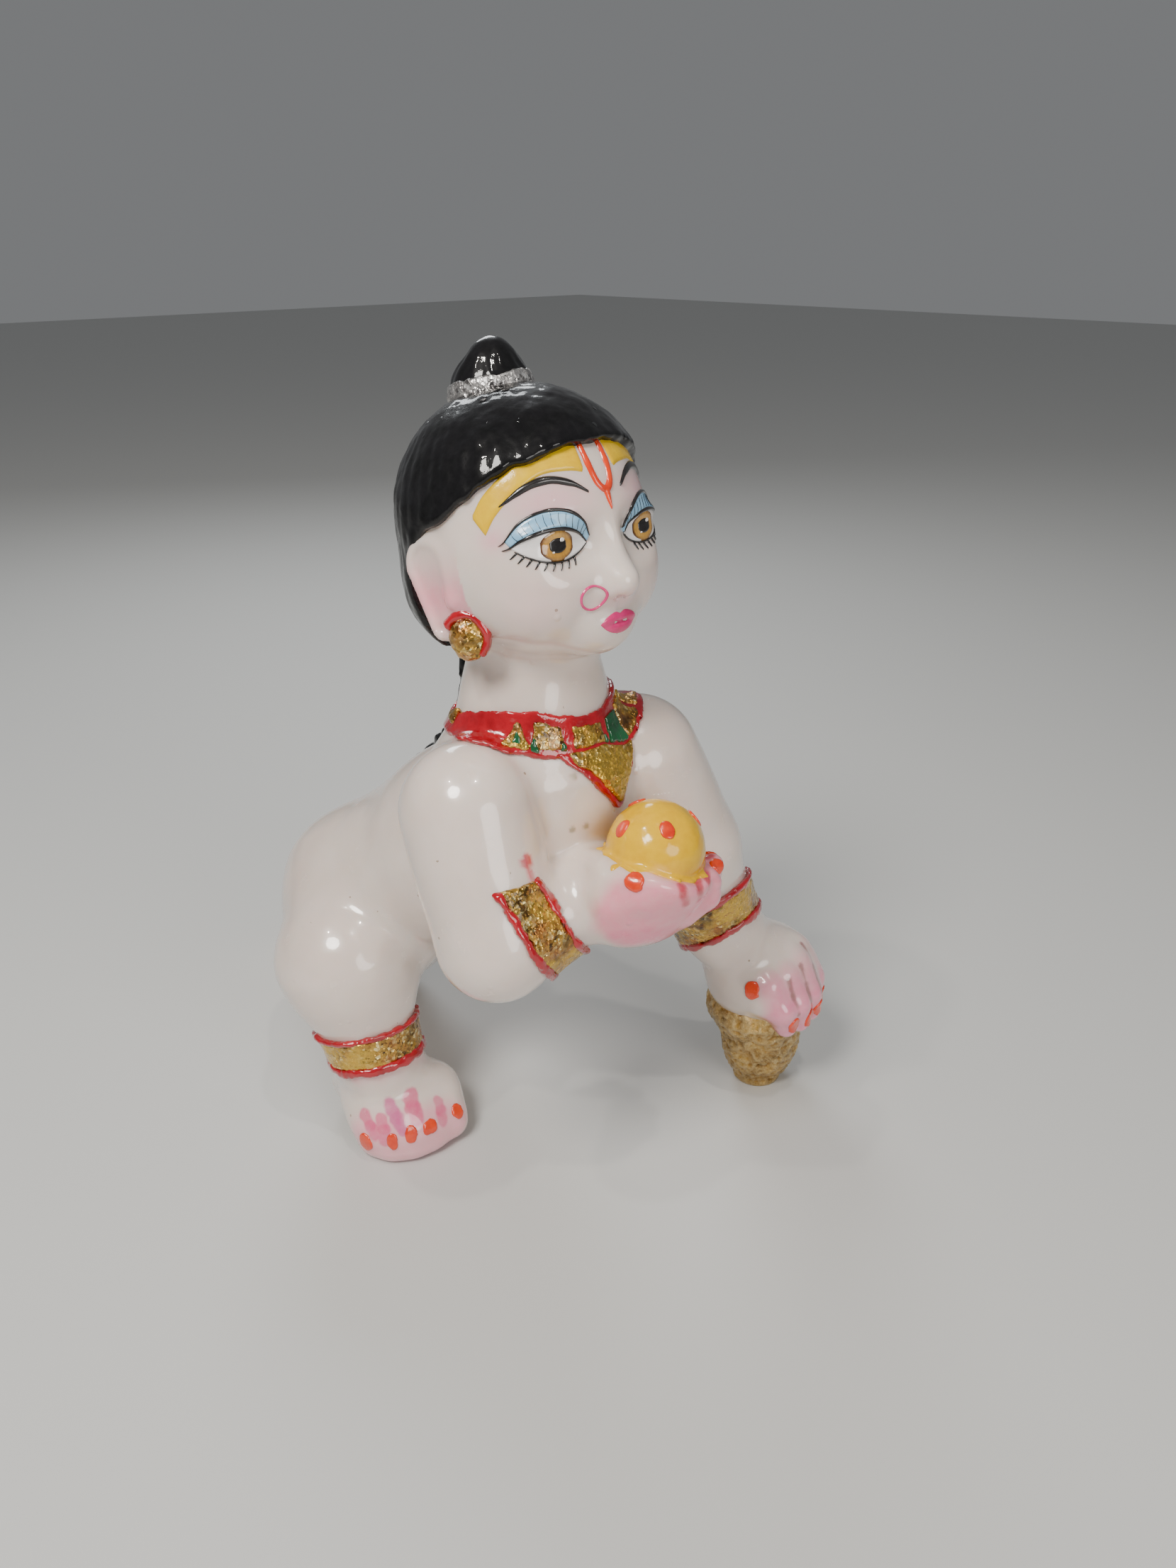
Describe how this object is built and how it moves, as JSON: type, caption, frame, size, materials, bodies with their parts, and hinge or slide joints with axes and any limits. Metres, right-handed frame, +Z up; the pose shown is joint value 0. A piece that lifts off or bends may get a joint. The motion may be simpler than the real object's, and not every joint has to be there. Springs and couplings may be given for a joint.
{
  "type": "crawling child-deity figurine",
  "caption": "Small polished cast-marble statuette of a crawling child deity with topknot, collar, bangles and anklets, holding up a round sweet and leaning on a gilt rest.",
  "frame": {"origin": "centre of the bounding box, on the table plane under the figure", "axes": "+Z up through the topknot; the figure faces -Y and crawls towards -Y; its right hand, holding the sweet, is on the -X side"},
  "size_m": [0.0614, 0.0932, 0.1019],
  "materials": {
    "marble": "polished",
    "black_lacquer": "gloss",
    "silver_glitter": "gloss",
    "yellow_enamel": "gloss",
    "orange_enamel": "gloss",
    "white_enamel": "gloss",
    "blue_enamel": "gloss",
    "amber_enamel": "gloss",
    "pink_enamel": "gloss",
    "gold_glitter": "gloss",
    "red_enamel": "gloss",
    "green_enamel": "gloss",
    "gold_leaf": "satin"
  },
  "bodies": {
    "root": {"figure_casting": "marble", "hair_cap": "black_lacquer", "nape_lock": "black_lacquer", "topknot": "black_lacquer", "topknot_tie": "silver_glitter", "forehead_paste": "yellow_enamel", "forehead_mark": "orange_enamel", "eyebrows": "black_lacquer", "eye_whites": "white_enamel", "eyelid_enamel": "blue_enamel", "irises": "amber_enamel", "pupils": "black_lacquer", "lip_enamel": "pink_enamel", "nose_ring_line": "pink_enamel", "earring_right": "gold_glitter", "earring_left": "gold_glitter", "earring_rims": "red_enamel", "collar": "red_enamel", "collar_panels": "gold_glitter", "collar_green_stones": "green_enamel", "pendant": "gold_glitter", "pendant_rim": "red_enamel", "bangle_right": "gold_glitter", "bangle_right_rims": "red_enamel", "bangle_left": "gold_glitter", "bangle_left_rims": "red_enamel", "anklet_right": "gold_glitter", "anklet_right_rims": "red_enamel", "anklet_left": "gold_glitter", "anklet_left_rims": "red_enamel", "fingernails": "orange_enamel", "toenails": "orange_enamel", "sweet": "yellow_enamel", "sweet_spots": "orange_enamel", "hand_rest": "gold_leaf"}
  },
  "joints": []
}
